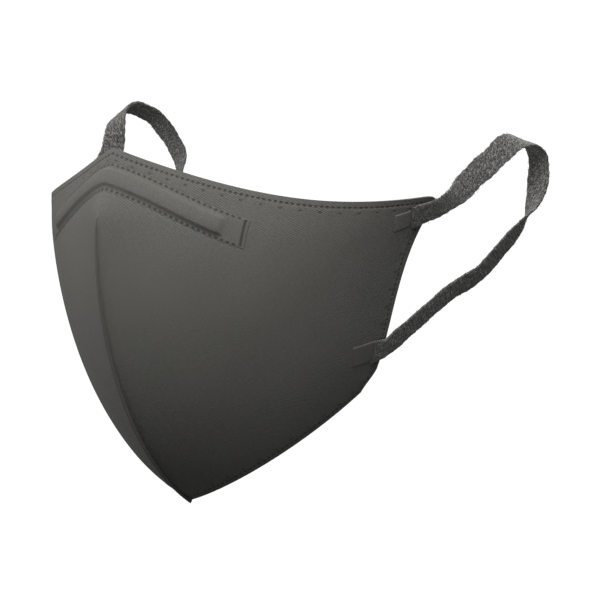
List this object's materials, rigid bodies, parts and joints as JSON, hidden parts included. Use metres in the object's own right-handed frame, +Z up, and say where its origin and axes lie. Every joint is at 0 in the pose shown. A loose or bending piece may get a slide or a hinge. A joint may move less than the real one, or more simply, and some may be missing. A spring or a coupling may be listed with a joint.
{
  "type": "disposable dust mask",
  "caption": "Vertical-fold disposable dust mask that covers nose, mouth and chin, with a bendable nose wire, a welded front seam and soft knitted ear loops",
  "frame": {"origin": "On the fold plane, level with the mouth, midway between the rear edges", "axes": "+X to the wearer's left, +Y toward the wearer's head, +Z up"},
  "size_m": [0.1883, 0.1376, 0.1435],
  "materials": {
    "outer_fabric": "matte nonwoven with a fine diamond emboss",
    "support_web": "matte loose web",
    "filter_web": "matte melt-blown web",
    "lining_fabric": "matte soft nonwoven",
    "pocket_fabric": "matte nonwoven with dot welds",
    "wire": "satin",
    "seam_weld": "pressed and welded",
    "strap_weld": "pressed flat with a diagonal knurl",
    "ear_band": "heathered flat knit"
  },
  "bodies": {
    "mask_body": {"outer_cover_left": "outer_fabric", "outer_cover_right": "outer_fabric", "support_layer_left": "support_web", "support_layer_right": "support_web", "filter_layer_left": "filter_web", "filter_layer_right": "filter_web", "inner_lining_left": "lining_fabric", "inner_lining_right": "lining_fabric", "nose_wire": "wire", "nose_wire_pocket": "pocket_fabric", "centre_seam": "seam_weld", "upper_strap_end_left": "strap_weld", "upper_strap_end_right": "strap_weld", "lower_strap_end_left": "strap_weld", "lower_strap_end_right": "strap_weld"},
    "left_ear_loop": {"ear_loop_left": "ear_band"},
    "right_ear_loop": {"ear_loop_right": "ear_band"}
  },
  "joints": [
    {"name": "left_loop_swing", "type": "hinge", "parent": "mask_body", "child": "left_ear_loop", "pos_m": [0.07175, -0.00353, 0.01613], "axis": [-0.4281, 0.0518, -0.9023], "range_deg": [-60, 120], "stiffness_Nm_per_rad": 0.004},
    {"name": "right_loop_swing", "type": "hinge", "parent": "mask_body", "child": "right_ear_loop", "pos_m": [-0.07175, -0.00353, 0.01613], "axis": [-0.4281, -0.0518, 0.9023], "range_deg": [-60, 120], "stiffness_Nm_per_rad": 0.004}
  ]
}
